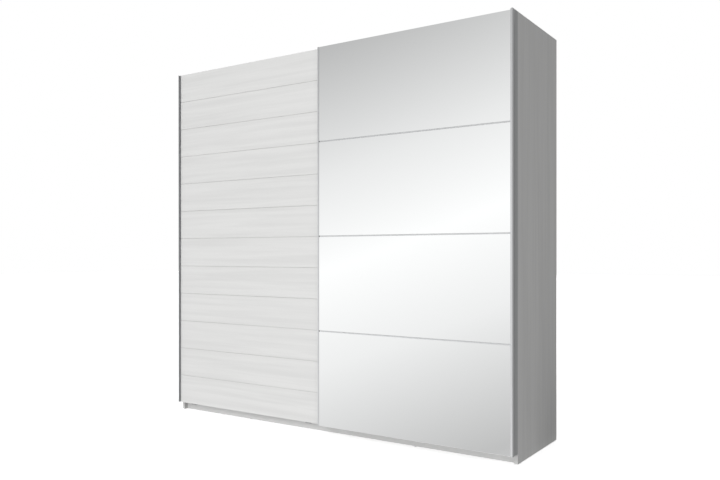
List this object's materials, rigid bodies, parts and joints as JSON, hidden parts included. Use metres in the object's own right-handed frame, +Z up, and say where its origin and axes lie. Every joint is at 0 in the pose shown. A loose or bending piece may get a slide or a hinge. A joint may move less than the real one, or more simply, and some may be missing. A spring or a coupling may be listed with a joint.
{
  "type": "sliding door wardrobe",
  "caption": "Wide floor-standing wardrobe whose grooved wood-look door and mirror door slide past each other on a top track.",
  "frame": {"origin": "on the floor under the middle of the overall box, from the door handles to the rear edges", "axes": "+X to the right of someone who faces the doors, +Y from the doors to the back, +Z up"},
  "size_m": [2.22, 0.61, 2.1],
  "materials": {
    "anodised_aluminium": "satin anodised",
    "backing_board": "plain thin fibreboard",
    "beech_dowel": "fluted beech",
    "black_rubber": "moulded",
    "cast_zinc": "die-cast",
    "chromed_tube": "bright chrome",
    "grey_plastic": "moulded",
    "hardboard": "smooth hardboard",
    "light_wood_decor": "pale grooved wood decor, satin",
    "mill_aluminium": "as extruded",
    "nylon": "moulded",
    "silvered_glass": "polished",
    "white_melamine_board": "greyed decor on particle board, satin",
    "zinc_plated_steel": "bright zinc plate"
  },
  "bodies": {
    "carcass": {"back_panel_left": "hardboard", "back_panel_right": "hardboard", "bottom_panel_left": "white_melamine_board", "bottom_panel_right": "white_melamine_board", "cam_bolts": "zinc_plated_steel", "cam_locks": "cast_zinc", "centre_partition": "white_melamine_board", "closing_strip": "anodised_aluminium", "clothes_rail_left": "chromed_tube", "clothes_rail_right": "chromed_tube", "dowels": "beech_dowel", "flange_screws": "zinc_plated_steel", "floor_glides": "grey_plastic", "guide_rail": "mill_aluminium", "plinth_braces": "white_melamine_board", "plinth_front": "white_melamine_board", "plinth_rear": "white_melamine_board", "rail_flanges": "cast_zinc", "rail_screws": "zinc_plated_steel", "running_track": "mill_aluminium", "shelf_left": "white_melamine_board", "shelf_pins": "zinc_plated_steel", "shelf_right": "white_melamine_board", "side_panel_left": "white_melamine_board", "side_panel_right": "white_melamine_board", "top_panel_left": "white_melamine_board", "top_panel_right": "white_melamine_board", "track_stops": "black_rubber"},
    "left_door": {"left_axles": "zinc_plated_steel", "left_carrier_1": "zinc_plated_steel", "left_carrier_2": "zinc_plated_steel", "left_door_panel": "light_wood_decor", "left_edge_profile": "anodised_aluminium", "left_guide_1": "grey_plastic", "left_guide_2": "grey_plastic", "left_handle": "anodised_aluminium", "left_screws": "zinc_plated_steel"},
    "right_door": {"divider_caps": "grey_plastic", "divider_strips": "anodised_aluminium", "mirror_pane_1": "silvered_glass", "mirror_pane_2": "silvered_glass", "mirror_pane_3": "silvered_glass", "mirror_pane_4": "silvered_glass", "right_axles": "zinc_plated_steel", "right_carrier_1": "zinc_plated_steel", "right_carrier_2": "zinc_plated_steel", "right_door_board": "backing_board", "right_edge_profile": "anodised_aluminium", "right_guide_1": "zinc_plated_steel", "right_guide_2": "zinc_plated_steel", "right_handle": "anodised_aluminium", "right_screws": "zinc_plated_steel"},
    "left_wheel_1": {"left_wheel_1": "nylon"},
    "left_wheel_2": {"left_wheel_2": "nylon"},
    "left_wheel_3": {"left_wheel_3": "nylon"},
    "left_wheel_4": {"left_wheel_4": "nylon"},
    "right_wheel_1": {"right_wheel_1": "nylon"},
    "right_wheel_2": {"right_wheel_2": "nylon"},
    "right_wheel_3": {"right_wheel_3": "nylon"},
    "right_wheel_4": {"right_wheel_4": "nylon"}
  },
  "joints": [
    {"name": "left_door_slide", "type": "slide", "parent": "carcass", "child": "left_door", "axis": [1, 0, 0], "range_m": [0, 1.1]},
    {"name": "right_door_slide", "type": "slide", "parent": "carcass", "child": "right_door", "axis": [1, 0, 0], "range_m": [-1.104, 0]},
    {"name": "left_wheel_1_spin", "type": "hinge", "parent": "left_door", "child": "left_wheel_1", "pos_m": [-0.988, -0.215, 2.0647], "axis": [0, 1, 0], "range_deg": [0, 4510]},
    {"name": "left_wheel_2_spin", "type": "hinge", "parent": "left_door", "child": "left_wheel_2", "pos_m": [-0.932, -0.215, 2.0647], "axis": [0, 1, 0], "range_deg": [0, 4510]},
    {"name": "left_wheel_3_spin", "type": "hinge", "parent": "left_door", "child": "left_wheel_3", "pos_m": [-0.172, -0.215, 2.0647], "axis": [0, 1, 0], "range_deg": [0, 4510]},
    {"name": "left_wheel_4_spin", "type": "hinge", "parent": "left_door", "child": "left_wheel_4", "pos_m": [-0.116, -0.215, 2.0647], "axis": [0, 1, 0], "range_deg": [0, 4510]},
    {"name": "right_wheel_1_spin", "type": "hinge", "parent": "right_door", "child": "right_wheel_1", "pos_m": [0.116, -0.177, 2.0647], "axis": [0, 1, 0], "range_deg": [-4520, 0]},
    {"name": "right_wheel_2_spin", "type": "hinge", "parent": "right_door", "child": "right_wheel_2", "pos_m": [0.172, -0.177, 2.0647], "axis": [0, 1, 0], "range_deg": [-4520, 0]},
    {"name": "right_wheel_3_spin", "type": "hinge", "parent": "right_door", "child": "right_wheel_3", "pos_m": [0.932, -0.177, 2.0647], "axis": [0, 1, 0], "range_deg": [-4520, 0]},
    {"name": "right_wheel_4_spin", "type": "hinge", "parent": "right_door", "child": "right_wheel_4", "pos_m": [0.988, -0.177, 2.0647], "axis": [0, 1, 0], "range_deg": [-4520, 0]}
  ],
  "couplings": [
    {"joint": "left_wheel_1_spin", "follows": "left_door_slide", "rad_per_m": 71.429},
    {"joint": "left_wheel_2_spin", "follows": "left_door_slide", "rad_per_m": 71.429},
    {"joint": "left_wheel_3_spin", "follows": "left_door_slide", "rad_per_m": 71.429},
    {"joint": "left_wheel_4_spin", "follows": "left_door_slide", "rad_per_m": 71.429},
    {"joint": "right_wheel_1_spin", "follows": "right_door_slide", "rad_per_m": 71.429},
    {"joint": "right_wheel_2_spin", "follows": "right_door_slide", "rad_per_m": 71.429},
    {"joint": "right_wheel_3_spin", "follows": "right_door_slide", "rad_per_m": 71.429},
    {"joint": "right_wheel_4_spin", "follows": "right_door_slide", "rad_per_m": 71.429}
  ]
}
